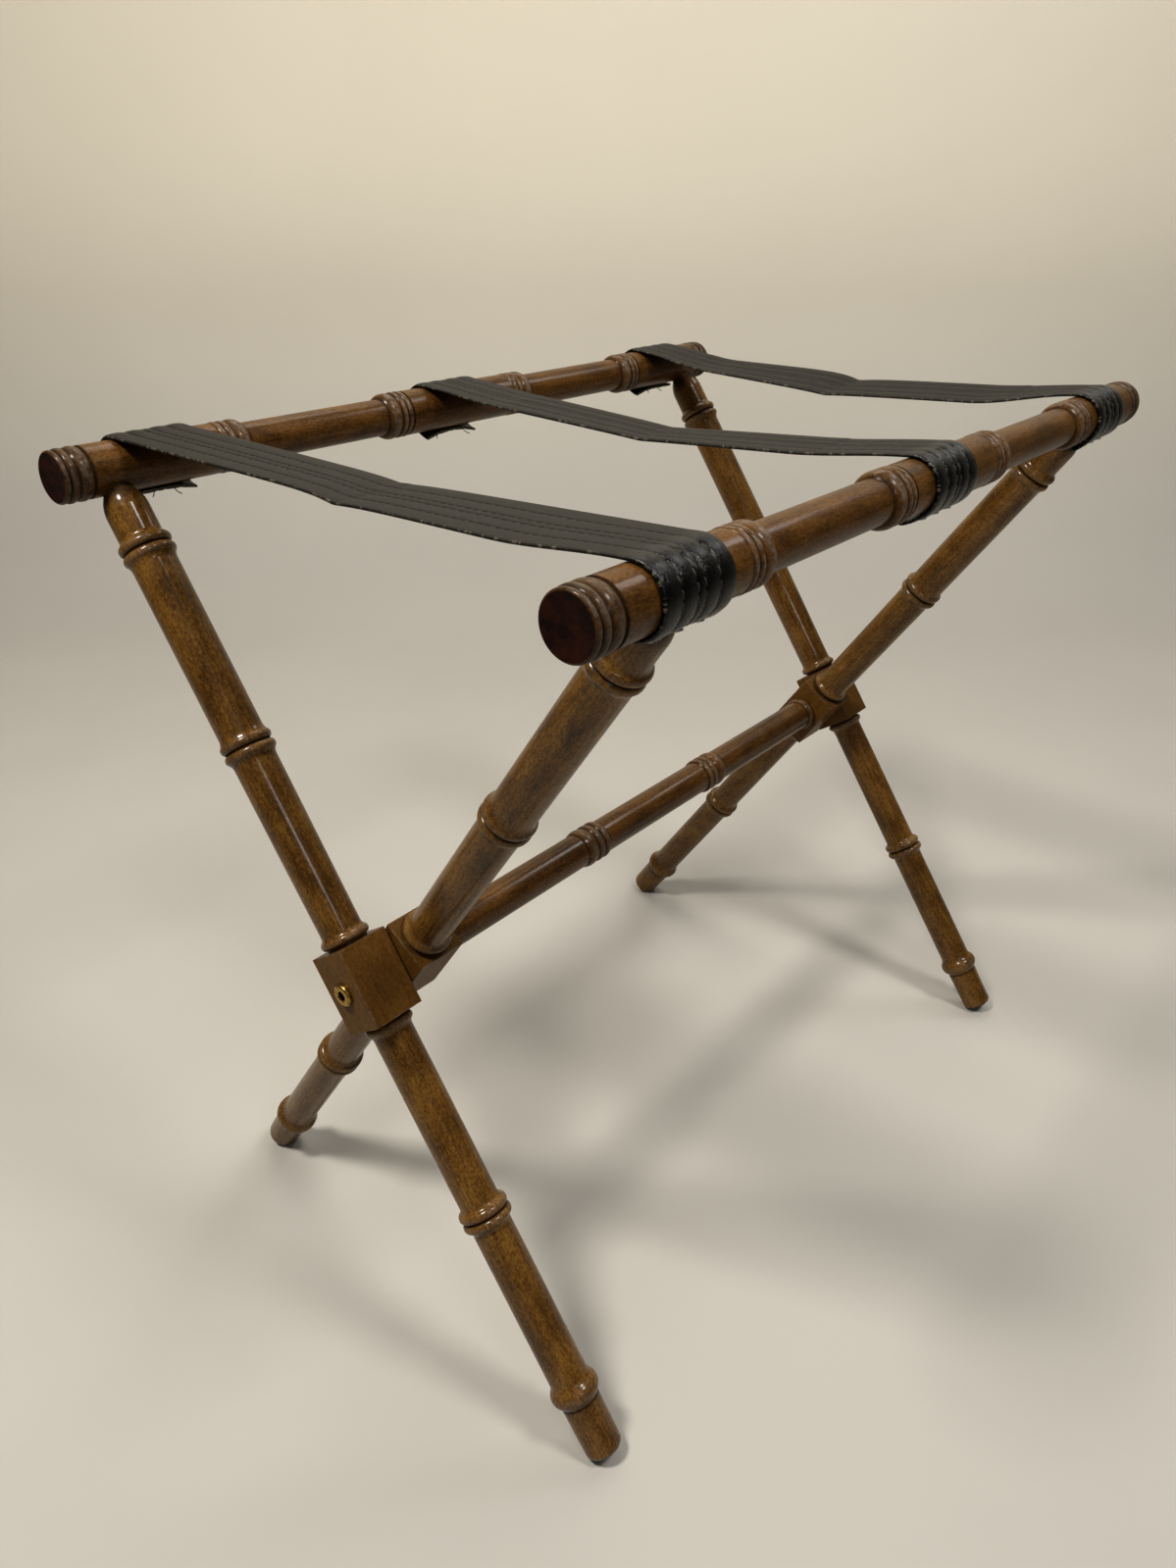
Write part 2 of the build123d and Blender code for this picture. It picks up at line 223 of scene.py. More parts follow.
def wood(name, palette, gloss, origin, axis, across, seed, marks, crest_radius, mirrored, ends, block=None):
    """Lacquered, stained wood with its grain along axis, dirt and painted shade in the grooves, and wear
    and painted sheen on the beads.
    Mirrored pieces repeat their marks on both sides of their middle. The end faces are at the distance
    ends, and a leg's square block is centred at the distance block."""
    s = Shader(name)
    place = s.vector("SUBTRACT", s.node("ShaderNodeTexCoord", output="Object"), tuple(origin))
    along = s.dot(place, tuple(axis))
    side = s.dot(place, tuple(across))
    up = s.dot(place, tuple(axis.cross(across)))
    local = s.node("ShaderNodeCombineXYZ", X=side, Y=up, Z=along)
    seeded = s.vector("ADD", local, (seed * 0.37, seed * 0.53, seed * 0.91))
    radius = s.math("SQRT", s.math("ADD", s.product(side, side), s.product(up, up)))
    reach = s.math("ABSOLUTE", along) if mirrored else along

    # Figure: a cloudy stain, faint growth rings, fibres, short dark pores and a fine fleck.
    cloud = s.noise(s.scaled(seeded, (70, 70, 34)), detail=5, roughness=0.62, distortion=0.3)
    drift = s.noise(s.scaled(seeded, (14, 14, 3.2)), detail=3)
    ring_centre = s.vector("SUBTRACT", local, (0.034 + 0.004 * (seed % 3), 0.021, 0.0))
    ring_distance = s.vector("LENGTH", s.scaled(ring_centre, (1, 1, 0.035)), output="Value")
    ring_place = s.math("ADD", s.math("MULTIPLY", ring_distance, 260), s.math("MULTIPLY", drift, 6.0))
    rings = s.noise(s.node("ShaderNodeCombineXYZ", X=ring_place, Y=seed * 1.7, Z=0.0), detail=2)
    fibres = s.noise(s.scaled(seeded, (560, 560, 42)), detail=4, roughness=0.62)
    fleck = s.noise(s.scaled(seeded, (820, 820, 460)), detail=4, roughness=0.75)
    pores = s.noise(s.scaled(seeded, (1500, 1500, 260)), detail=2)
    tone = s.math("ADD", s.product(cloud, CLOUD_SHARE), s.product(rings, RING_SHARE))
    fine_tone = s.math("ADD", s.product(fibres, FIBRE_SHARE), s.product(fleck, FLECK_SHARE))
    tone = s.fit(s.math("ADD", tone, fine_tone), TONE_LOW, TONE_HIGH)
    colour = s.ramp(tone, [(0.0, palette[0]), (0.5, palette[1]), (1.0, palette[2])])
    pore_mask = s.fit(pores, 0.60, 0.70)
    colour = s.mix(s.product(pore_mask, PORE_STRENGTH), colour, GRIME_AND_SHADE)

    # Dirt, dark glaze and painted shade in the grooves; on the crests the lacquer is rubbed pale, and the
    # pale grey also paints their sheen.
    break_up = s.noise(s.scaled(seeded, (240, 240, 240)), detail=4, roughness=0.7)
    dirt_and_shade = s.most([s.near(reach, centre, width) for centre, width in marks.grooves])
    dirt_and_shade = s.product(dirt_and_shade, s.fit(break_up, 0.25, 0.6, 0.65, 1.0))
    colour = s.mix(s.product(dirt_and_shade, marks.groove_dirt), colour, GRIME_AND_SHADE)
    proud = s.fit(radius, crest_radius - 0.9 * MM, crest_radius + 0.1 * MM)
    near_crest = s.most([s.near(reach, centre, width) for centre, width in marks.crests])
    scuff_and_sheen = s.product(proud, near_crest, s.fit(break_up, 0.36, 0.62), marks.wear)
    if block:
        # A square block's faces: its edges are worn, and it has a plainer, flatter figure.
        inside = [
            s.math("SUBTRACT", BLOCK_HALF_WIDTH, s.math("ABSOLUTE", side)),
            s.math("SUBTRACT", BLOCK_HALF_WIDTH, s.math("ABSOLUTE", up)),
            s.math("SUBTRACT", BLOCK_HALF_LENGTH, s.math("ABSOLUTE", s.math("SUBTRACT", along, block))),
        ]
        in_length = s.fit(inside[2], -0.25 * MM, -0.15 * MM)
        least = s.math("MINIMUM", s.math("MINIMUM", inside[0], inside[1]), inside[2])
        total = s.math("ADD", s.math("ADD", inside[0], inside[1]), inside[2])
        second = s.math("SUBTRACT", s.math("SUBTRACT", total, least), s.most(inside))
        on_block = s.product(in_length, s.fit(radius, 15.4 * MM, 15.9 * MM))
        edge = s.product(s.fit(second, 1.2 * MM, 0.3 * MM), on_block)
        scuff_and_sheen = s.math("MAXIMUM", scuff_and_sheen, s.product(edge, s.fit(break_up, 0.42, 0.62), 0.8))
        faint = s.math("ADD", s.product(fibres, 0.4), s.product(fleck, 0.6))
        plain = s.ramp(faint, [(0.30, palette[0]), (0.48, palette[1]), (0.75, palette[1])])
        colour = s.mix(s.product(on_block, PLAIN_BLOCK_SHARE), colour, plain)
    # The crests get rubbed lacquer and painted sheen.
    colour = s.mix(s.product(scuff_and_sheen, SCUFF_AND_SHEEN_STRENGTH), colour, SCUFF_AND_SHEEN)

    if mirrored:
        # The rings at each end of a rail are stained darker than the rest.
        stain = s.fit(reach, ends - END_RINGS_START, ends - END_RINGS_FULL, 0.0, END_RINGS_STAIN)
        colour = s.mix(stain, colour, GRIME_AND_SHADE)

    # End grain drinks the stain and is nearly black.
    at_end = s.fit(reach, ends - 1.25 * MM, ends - 1.1 * MM)
    end_face = s.product(at_end, s.fit(radius, 13.7 * MM, 13.3 * MM))
    end_cloud = s.noise(s.scaled(seeded, (150, 150, 150)), detail=5, roughness=0.65)
    end_colour = s.mix(s.fit(end_cloud, 0.38, 0.68), *END_GRAIN)
    colour = s.mix(end_face, colour, end_colour)

    dull = s.math("ADD", s.product(scuff_and_sheen, SCUFF_DULL), s.product(dirt_and_shade, DIRT_DULL), clamp=True)
    dull = s.math("MAXIMUM", dull, s.product(end_face, END_FACE_DULL))
    if block:
        dull = s.math("MAXIMUM", dull, s.product(on_block, BLOCK_DULL))
    rough = s.math("ADD", s.fit(cloud, 0.3, 0.7, 0.42, 0.52), dull)
    height = s.math("ADD", s.product(fibres, 0.5), s.product(pore_mask, -0.35))
    height = s.math("ADD", height, s.product(cloud, 0.9))
    normal = s.bump(height, 0.16 * MM, 0.5)
    lacquer = s.bump(s.math("ADD", fibres, s.product(fleck, 0.6)), 0.05 * MM, 0.5)
    s.set(Base_Color=colour, Roughness=rough, Normal=normal, Coat_Normal=lacquer)
    s.set(Coat_Weight=s.fit(dull, 0.0, NO_LACQUER, gloss, 0.05))
    s.set(Coat_Roughness=LACQUER_ROUGHNESS, Coat_IOR=LACQUER_IOR, Specular_IOR_Level=0.12)
    return s.material


def leg_marks():
    """A leg's marks, along the leg from its rail."""
    pairs = [50.6, 175.0, 480.0]
    # The wide mark at 16 mm darkens the leg's nose where it meets the rail: dirt and painted shade between
    # the parts.
    grooves = [(c, 1.7) for c in pairs] + [(300.9, 1.5), (351.2, 1.5), (606.8, 1.6), (16.0, 12.0)]
    crests = [(c + side * 3.5, 3.2) for c in pairs for side in (-1, 1)]
    crests += [(297.5, 3.0), (354.2, 3.0), (599.5, 5.0)]
    return Marks(0.8, 0.35, in_metres(grooves), in_metres(crests))


def rail_marks():
    """A rail's marks, from its middle out."""
    grooves = [(x, 1.1) for x in (50.5, 55.6, 60.4, 191.8, 196.6, 201.7)]
    grooves += [(x, 1.8) for x in (71.0, 181.2, 285.3, 294.0, 299.4)]
    crests = [(x, 2.6) for x in (53.2, 58.0, 194.2, 199.0, 296.7, 301.2)]
    crests += [(65.7, 5.0), (186.5, 5.0), (289.8, 4.2)]
    return Marks(0.7, 1.0, in_metres(grooves), in_metres(crests))


def stretcher_marks():
    """The stretcher's marks, from its middle out."""
    grooves = [(x, 1.4) for x in (60.2, 66.4, 72.8, 83.6, 210.2, 218.6)]
    crests = [(x, 4.0) for x in (63.2, 69.6, 78.3, 214.3)]
    return Marks(0.7, 0.6, in_metres(grooves), in_metres(crests))


def in_metres(places):
    return [(centre * MM, width * MM) for centre, width in places]


def dress(node, material):
    """Gives a CAD node a new material in every one of its slots."""
    for slot in frame["nodes"][node].material_slots:
        slot.material = material


seed = 1
for rail, sign in (("back", 1), ("front", -1)):
    material = wood(
        f"wood_rail_{rail}",
        palette=PALETTES["rail"],
        gloss=0.28,
        origin=(0, sign * rail_half_spacing, rail_height),
        axis=X,
        across=Y,
        seed=seed,
        marks=rail_marks(),
        crest_radius=RAIL_CREST_RADIUS,
        mirrored=True,
        ends=rail_half_length,
    )
    dress(f"rail_{rail}", material)
    seed += 1

for leg, sign, distance in (("outer", 1, outer_leg_x), ("inner", -1, inner_leg_x)):
    down = Vector((0, -sign * math.sin(lean), -math.cos(lean)))
    for side, way in (("near", -1), ("far", 1)):
        material = wood(
            f"wood_leg_{leg}_{side}",
            palette=PALETTES["leg"],
            gloss=0.6,
            origin=(way * distance, sign * rail_half_spacing, rail_height),
            axis=down,
            across=X,
            seed=seed,
            marks=leg_marks(),
            crest_radius=LEG_CREST_RADIUS,
            mirrored=False,
            ends=LEG_LENGTH,
            block=rail_to_pivot,
        )
        dress(f"leg_{leg}_{side}", material)
        seed += 1

# The stretcher's ends are inside the blocks, so its end faces are put out of reach.
material = wood(
    "wood_stretcher",
    palette=PALETTES["rail"],
    gloss=0.5,
    origin=(0, 0, pivot_height),
    axis=X,
    across=Y,
    seed=seed,
    marks=stretcher_marks(),
    crest_radius=STRETCHER_CREST_RADIUS,
    mirrored=True,
    ends=STRETCHER_HALF_LENGTH + 0.1,
)
dress("stretcher", material)

# ---------------------------------------------------------------- metals


def metal(name, colour, tarnish_and_shade, roughness, patchiness, socket=0.0):
    """Cast or turned metal with a cloudy tarnish and fine scratches. Inside the socket's radius about the
    pivot it is painted dark, as the shade in its recess."""
    s = Shader(name)
    place = s.node("ShaderNodeTexCoord", output="Object")
    cloud = s.noise(s.scaled(place, (420, 420, 420)), detail=5, roughness=0.65)
    scratch = s.noise(s.scaled(place, (900, 9000, 2600)), detail=3, roughness=0.6)
    tarnish_and_socket_shade = s.product(s.fit(cloud, 0.48, 0.72), patchiness)
    if socket:
        # Painted shade: the bolt's socket recess is painted dark.
        out = s.vector("MULTIPLY", s.vector("SUBTRACT", place, (0, 0, pivot_height)), (0, 1, 1))
        reach = s.vector("LENGTH", out, output="Value")
        tarnish_and_socket_shade = s.math("MAXIMUM", tarnish_and_socket_shade, s.fit(reach, socket, socket - 0.4 * MM))
    s.set(
        Base_Color=s.mix(tarnish_and_socket_shade, colour, tarnish_and_shade),
        Metallic=1.0,
        Roughness=s.fit(cloud, 0.3, 0.7, roughness, roughness + 0.22),
        Normal=s.bump(scratch, 0.03 * MM, 0.35),
    )
    return s.material


BOLT_SOCKET_RADIUS = 3.2 * MM
brass = metal("aged_brass", srgb(168, 138, 74), srgb(62, 46, 22), 0.24, 0.6, BOLT_SOCKET_RADIUS)
washer_metal = metal("dull_washer", srgb(120, 112, 98), srgb(60, 50, 40), 0.38, 0.6)
insert_metal = metal("zinc_insert", srgb(180, 174, 160), srgb(110, 104, 92), 0.3, 0.4)
tack_metal = metal("nickel_tack", srgb(196, 192, 184), srgb(120, 112, 100), 0.2, 0.5)
for side in ("near", "far"):
    dress(f"pivot_bolt_{side}", brass)
    dress(f"pivot_washer_{side}", washer_metal)
    dress(f"threaded_insert_{side}", insert_metal)
    for rail in ("back", "front"):
        dress(f"tacks_{rail}_{side}", tack_metal)
for rail in ("back", "front"):
    dress(f"tacks_{rail}_middle", tack_metal)

# ---------------------------------------------------------------- strap materials


def vinyl():
    """Grained black vinyl. Its uv is in metres, across and along the strap."""
    s = Shader("black_vinyl")
    uv = s.node("ShaderNodeUVMap", {"uv_map": "cloth"})
    grain = s.node(
        "ShaderNodeTexVoronoi",
        {"feature": "DISTANCE_TO_EDGE"},
        Vector=s.scaled(uv, (1700, 1400, 1)),
        Scale=1.0,
    )
    wrinkles = s.noise(s.scaled(uv, (190, 420, 1)), detail=5, roughness=0.6)
    creases = s.noise(s.scaled(uv, (45, 170, 1)), detail=3, roughness=0.55)
    dust = s.noise(s.scaled(uv, (70, 26, 1)), detail=5, roughness=0.7)
    edge = s.math("ABSOLUTE", s.node("ShaderNodeSeparateXYZ", Vector=uv))
    worn = s.product(s.fit(edge, 23.0 * MM, 23.8 * MM), s.fit(wrinkles, 0.52, 0.62))
    run = s.dot(uv, (0, 1, 0))
    # The free span between the wraps is painted paler, for dust and for painted sheen, and is duller than
    # the vinyl pulled round the rails.
    span = s.product(s.fit(run, 44 * MM, 62 * MM), s.fit(run, 434 * MM, 416 * MM))
    colour = s.mix(s.fit(dust, 0.45, 0.8, 0.0, 0.45), srgb(7, 7, 7), srgb(30, 28, 22))
    dust_and_sheen = s.mix(s.fit(dust, 0.3, 0.7), srgb(17, 15, 10), srgb(33, 30, 21))
    colour = s.mix(span, colour, dust_and_sheen)
    colour = s.mix(s.product(worn, 0.6), colour, srgb(112, 106, 92))
    height = s.math("ADD", s.fit(grain, 0.0, 0.22), s.product(wrinkles, 1.4))
    height = s.math("ADD", height, s.product(creases, 4.0))
    s.set(
        Base_Color=colour,
        Roughness=s.math("ADD", s.fit(dust, 0.3, 0.7, 0.18, 0.28), s.product(span, 0.36)),
        Normal=s.bump(height, 0.08 * MM, 0.55),
        Specular_IOR_Level=0.3,
    )
    return s.material


def thread(name, colour, rubbed_and_highlit, pitch):
    """Twisted sewing thread, paler where it goes round the rails: rubbed, and a painted highlight on the
    raised stitches.
    """
    s = Shader(name)
    place = s.node("ShaderNodeTexCoord", output="Object")
    out = s.math("ABSOLUTE", s.dot(place, (0, 1, 0)))
    # Painted highlight with rubbing: the stitches on the wraps are paler.
    colour = s.mix(s.fit(out, rail_half_spacing - 8 * MM, rail_half_spacing + 4 * MM), colour, rubbed_and_highlit)
    twist = s.node(
        "ShaderNodeTexWave",
        {"bands_direction": "DIAGONAL"},
        Vector=s.scaled(place, (pitch, pitch, pitch)),
        Scale=1.0,
        Distortion=1.5,
    )
    colour = s.mix(s.product(twist, 0.7), colour, srgb(7, 7, 6))
    s.set(Base_Color=colour, Roughness=0.6, Normal=s.bump(twist, 0.05 * MM, 0.6), Specular_IOR_Level=0.25)
    return s.material


def cut_edge():
    """The raw cut end of a strap: pale fabric backing between two black faces."""
    s = Shader("strap_cut_edge")
    place = s.node("ShaderNodeTexCoord", output="Object")
    weave = s.noise(s.scaled(place, (1600, 1600, 1600)), detail=3, roughness=0.7)
    s.set(
        Base_Color=s.mix(s.fit(weave, 0.35, 0.65), srgb(30, 28, 24), srgb(122, 114, 98)),
        Roughness=0.85,
        Normal=s.bump(weave, 0.15 * MM, 0.8),
    )
    return s.material


strap_vinyl = vinyl()
strap_backing = cut_edge()
strap_thread = thread("black_thread", srgb(9, 9, 8), srgb(72, 70, 62), 900)

# ---------------------------------------------------------------- straps

STRAP_HALF_WIDTH = 24 * MM
STRAP_HALF_THICKNESS = 1.0 * MM
STRAP_LIFT = 0.3 * MM
PATH_RADIUS = RAIL_RADIUS + STRAP_LIFT + STRAP_HALF_THICKNESS
STITCH_ROWS = [u * MM for u in (-12.7, -2.6, 2.6, 12.7)]
STITCH_PITCH = 5.4 * MM
STITCH_LENGTH = 3.8 * MM
STITCH_RADIUS = 0.56 * MM
ROW_DIP = 0.28 * MM
ROW_WIDTH = 0.8 * MM
SPAN_PUFF = 0.22 * MM
WRAP_PUFF = 0.80 * MM
CREASE_BACK_RUN = 13 * MM
CREASE_FRONT_RUN = 15 * MM
CREASE_ROUNDING = 2.2 * MM
RISE_RUN = 75 * MM
TAIL_ANGLE = math.radians(87)
FLARE_RUN = 13 * MM
FIRST_STITCH, LAST_STITCH = 3 * MM, 4 * MM
LOOSE_THREAD_RADIUS = 0.3 * MM
STRAP_ROWS = 250

# One edge of a strap's free span, in millimetres. It has a crease: its y, its height over the rails'
# middle, and how far the strap steps down to it from the back and from the front. The last two are the
# shares of the remaining rise that are left to the last stretch before each rail.
Edge = namedtuple("Edge", "crease_y low step_back step_front late_back late_front")


def eased(share):
    share = min(max(share, 0.0), 1.0)
    return share * share * (3 - 2 * share)


def blended(a, b, share):
    return a + (b - a) * share


class Strap:
    """The middle surface of one strap: at(t, u) is the point a distance t along it and u across it."""

    def __init__(self, node, near_edge, far_edge, tails, leg_side, flare):
        low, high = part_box(node)
        self.x = (low.x + high.x) / 2
        self.near_edge, self.far_edge = near_edge, far_edge
        self.tails, self.leg_side, self.flare = tails, leg_side, flare
        self.path = self.make_path()
        self.length = self.path[-1][0]

    def height(self, y, u=0.0):
        """Height of the free span over the rails' middle line."""
        share = (u / STRAP_HALF_WIDTH + 1) / 2
        crease_y, low, step_back, step_front, late_back, late_front = [
            blended(a, b, share) for a, b in zip(self.near_edge, self.far_edge)
        ]
        crease_y, low, step_back, step_front = (v * MM for v in (crease_y, low, step_back, step_front))
        back = y > crease_y
        run = rail_half_spacing - crease_y if back else rail_half_spacing + crease_y
        away = abs(y - crease_y)
        soft = math.hypot(away, CREASE_ROUNDING) - CREASE_ROUNDING
        step, late = (step_back, late_back) if back else (step_front, late_front)
        step_run = CREASE_BACK_RUN if back else CREASE_FRONT_RUN
        even = soft / (math.hypot(run, CREASE_ROUNDING) - CREASE_ROUNDING)
        last = eased((away - (run - RISE_RUN)) / RISE_RUN)
        rise = PATH_RADIUS - low - step
        return low + step * (1 - math.exp(-soft / step_run)) + rise * blended(even, last, late)

    def make_path(self):
        """Points (distance, y, z) down the middle line, from the back tail to the front one."""
        bottom = Vector(
            (rail_half_spacing + PATH_RADIUS * math.cos(TAIL_ANGLE), -PATH_RADIUS * math.sin(TAIL_ANGLE))
        )
        inward = Vector((-math.sin(TAIL_ANGLE), -math.cos(TAIL_ANGLE)))
        steps, wrap_steps, span_steps = 12, 44, 180
        points = []
        for i in range(steps):
            points.append(bottom + inward * self.tails[0] * (1 - i / steps))
        turn = TAIL_ANGLE + math.pi / 2
        for i in range(wrap_steps + 1):
            a = turn * i / wrap_steps - TAIL_ANGLE
            out, rise = PATH_RADIUS * math.cos(a), PATH_RADIUS * math.sin(a)
            points.append(Vector((rail_half_spacing + out, rise)))
        for i in range(1, span_steps):
            y = rail_half_spacing * (1 - 2 * i / span_steps)
            points.append(Vector((y, self.height(y))))
        for i in range(wrap_steps + 1):
            a = math.pi / 2 - turn * i / wrap_steps
            out, rise = PATH_RADIUS * math.cos(a), PATH_RADIUS * math.sin(a)
            points.append(Vector((-rail_half_spacing - out, rise)))
        for i in range(1, steps + 1):
            step = inward * self.tails[1] * (i / steps)
            points.append(Vector((-bottom.x - step.x, bottom.y + step.y)))
        path, run = [], 0.0
        for i, point in enumerate(points):
            if i:
                run += (point - points[i - 1]).length
            if not path or run > path[-1][0]:
                path.append((run, point.x, point.y))
        return path

    def on_path(self, t):
        t = min(max(t, 0.0), self.length)
        low, high = 0, len(self.path) - 1
        while high - low > 1:
            middle = (low + high) // 2
            if self.path[middle][0] <= t:
                low = middle
            else:
                high = middle
        a, b = self.path[low], self.path[high]
        share = (t - a[0]) / (b[0] - a[0])
        return blended(a[1], b[1], share), blended(a[2], b[2], share)

    def wrapped(self, t):
        """1 on the wraps round the rails, fading to 0 on the free span."""
        y, z = self.on_path(t)
        return 1.0 if z < 0.6 * PATH_RADIUS else eased((abs(y) - rail_half_spacing + 9 * MM) / (9 * MM))

    def pinned(self, t):
        """1 along the strap, fading to 0 at its two cut ends."""
        return eased(min(t, self.length - t) / FLARE_RUN)

    def at(self, t, u, h=0.0):
        """A point h above the middle surface."""
        y, z = self.on_path(t)
        before, after = self.on_path(t - 0.8 * MM), self.on_path(t + 0.8 * MM)
        tangent = Vector((0, after[0] - before[0], after[1] - before[1])).normalized()
        normal = tangent.cross(X)
        if abs(y) < rail_half_spacing and z > 0:
            z += self.height(y, u) - self.height(y)
        # The corners of a cut end curl away from the rail; on the leg's side they stay down.
        corner = abs(u / STRAP_HALF_WIDTH) ** 2.2
        if u * self.leg_side > 0:
            corner = 0.0
        curl = self.flare * corner * (1 - self.pinned(t)) ** 1.3
        return Vector((self.x + u, y, rail_height + z)) + normal * (h + curl)


def face_height(u, puff):
    """Height of the upper face over the middle surface: soft panels between the stitch rows."""
    borders = [-STRAP_HALF_WIDTH] + STITCH_ROWS + [STRAP_HALF_WIDTH]
    for low, high in zip(borders, borders[1:]):
        if u <= high:
            share = min(1.0, max(0.0, (u - low) / (high - low)))
            break
    panel = puff * min(1.0, (high - low) / (9 * MM)) * math.sin(math.pi * share) ** 0.6
    dip = sum(ROW_DIP * math.exp(-(((u - row) / ROW_WIDTH) ** 2)) for row in STITCH_ROWS)
    edge = min(1.0, (STRAP_HALF_WIDTH - abs(u)) / (1.1 * MM))
    round_off = math.sqrt(max(0.0, 1 - (1 - edge) ** 2))
    return (STRAP_HALF_THICKNESS - 0.1 * MM) * (0.25 + 0.75 * round_off) + (panel - dip) * round_off


def section_places():
    """Places across the strap, closer together at its edges and stitch rows."""
    places = {-STRAP_HALF_WIDTH, STRAP_HALF_WIDTH}
    for edge in (0.25, 0.7, 1.3, 2.2):
        places |= {STRAP_HALF_WIDTH - edge * MM, edge * MM - STRAP_HALF_WIDTH}
    for row in STITCH_ROWS:
        places |= {row + shift * MM for shift in (-1.5, -0.9, -0.4, 0.0, 0.4, 0.9, 1.5)}
    for middle, half in ((-18.3, 3.4), (-7.65, 3.2), (7.65, 3.2), (18.3, 3.4)):
        places |= {(middle + half * share) * MM for share in (-1, -0.5, 0, 0.5, 1)}
    places.add(0.0)
    return sorted(places)


def sweep(strap, rows, name):
    """The strap's closed mesh: its section carried along its path."""
    places = section_places()
    under = places[1:-1][::-2]
    vertices, uvs = [], []
    for t in rows:
        puff = blended(SPAN_PUFF, WRAP_PUFF, strap.wrapped(t)) * blended(0.2, 1.0, strap.pinned(t))
        for u in places:
            vertices.append(strap.at(t, u, face_height(u, puff)))
            uvs.append((u, t))
        for u in under:
            vertices.append(strap.at(t, u, -0.9 * face_height(u, 0.2 * SPAN_PUFF)))
            uvs.append((u, t))
    n, m = len(rows), len(places) + len(under)
    faces = [
        (r * m + c, r * m + (c + 1) % m, (r + 1) * m + (c + 1) % m, (r + 1) * m + c)
        for r in range(n - 1)
        for c in range(m)
    ]
    ends = [tuple(range(m))[::-1], tuple(range((n - 1) * m, n * m))]
    mesh = bpy.data.meshes.new(name)
    mesh.from_pydata(vertices, [], faces + ends)
    layer = mesh.uv_layers.new(name="cloth")
    for loop in mesh.loops:
        layer.data[loop.index].uv = uvs[loop.vertex_index]
    mesh.materials.append(strap_vinyl)
    mesh.materials.append(strap_backing)
    for polygon in mesh.polygons:
        polygon.use_smooth = polygon.index < len(faces)
        polygon.material_index = 0 if polygon.index < len(faces) else 1
    return linked(name, mesh)


def linked(name, mesh):
    """A new piece with the mesh, its faces turned outward."""
    bm = bmesh.new()
    bm.from_mesh(mesh)
    bmesh.ops.recalc_face_normals(bm, faces=bm.faces)
    bm.to_mesh(mesh)
    bm.free()
    piece = bpy.data.objects.new(name, mesh)
    bpy.context.scene.collection.objects.link(piece)
    return piece


def tube(bm, centres, radii, sides=6):
    """Adds a closed tube through the centres to a bmesh."""
    loops = []
    for i, (centre, radius) in enumerate(zip(centres, radii)):
        along = (centres[min(i + 1, len(centres) - 1)] - centres[max(i - 1, 0)]).normalized()
        aside = along.cross(Z if abs(along.z) < 0.9 else X).normalized()
        over = aside.cross(along)
        turns = [k * math.tau / sides for k in range(sides)]
        loops.append(
            [bm.verts.new(centre + (aside * math.cos(a) + over * math.sin(a)) * radius) for a in turns]
        )
    for a, b in zip(loops, loops[1:]):
        for k in range(sides):
            bm.faces.new((a[k], a[(k + 1) % sides], b[(k + 1) % sides], b[k]))
    bm.faces.new(loops[0][::-1])
    bm.faces.new(loops[-1])


def stitches(strap, name, rng, loose_ends):
    """One mesh of the short thread stitches in the strap's rows, with a few loose ends at its back tail."""
    bm = bmesh.new()
    for row in STITCH_ROWS:
        t = FIRST_STITCH + rng.uniform(0, STITCH_PITCH)
        while t < strap.length - LAST_STITCH:
            half = STITCH_LENGTH * rng.uniform(0.46, 0.53)
            drift = rng.uniform(-0.12, 0.12) * MM
            for face in (1, -1):
                if face < 0 and strap.wrapped(t) > 0:
                    continue
                base = face_height(row, 0.0) + 0.22 * MM * strap.wrapped(t)
                centres, radii = [], []
                for share, size in ((-1, 0.35), (-0.72, 0.95), (0, 1), (0.72, 0.95), (1, 0.35)):
                    shift = half * share + (face < 0) * 0.5 * STITCH_PITCH
                    centres.append(strap.at(t + shift, row + drift, face * (base - 0.34 * MM * share**2)))
                    radii.append(STITCH_RADIUS * size)
                tube(bm, centres, radii)
            t += STITCH_PITCH * rng.uniform(0.97, 1.03)
    for u, length, swing in loose_ends:
        start = strap.at(1.2 * MM, u * MM, 0.4 * MM)
        way = Vector((0.3 * swing, -0.35, -0.9)).normalized()
        curl = Vector((swing, -0.5, 0.55))
        count = 9
        centres = [
            start + (way * share + curl * share**2 * 0.5) * length * MM
            for share in [i / (count - 1) for i in range(count)]
        ]
        tube(bm, centres, [LOOSE_THREAD_RADIUS] * count, sides=5)
    mesh = bpy.data.meshes.new(name)
    bm.to_mesh(mesh)
    bm.free()
    for polygon in mesh.polygons:
        polygon.use_smooth = True
    mesh.materials.append(strap_thread)
    return linked(name, mesh)


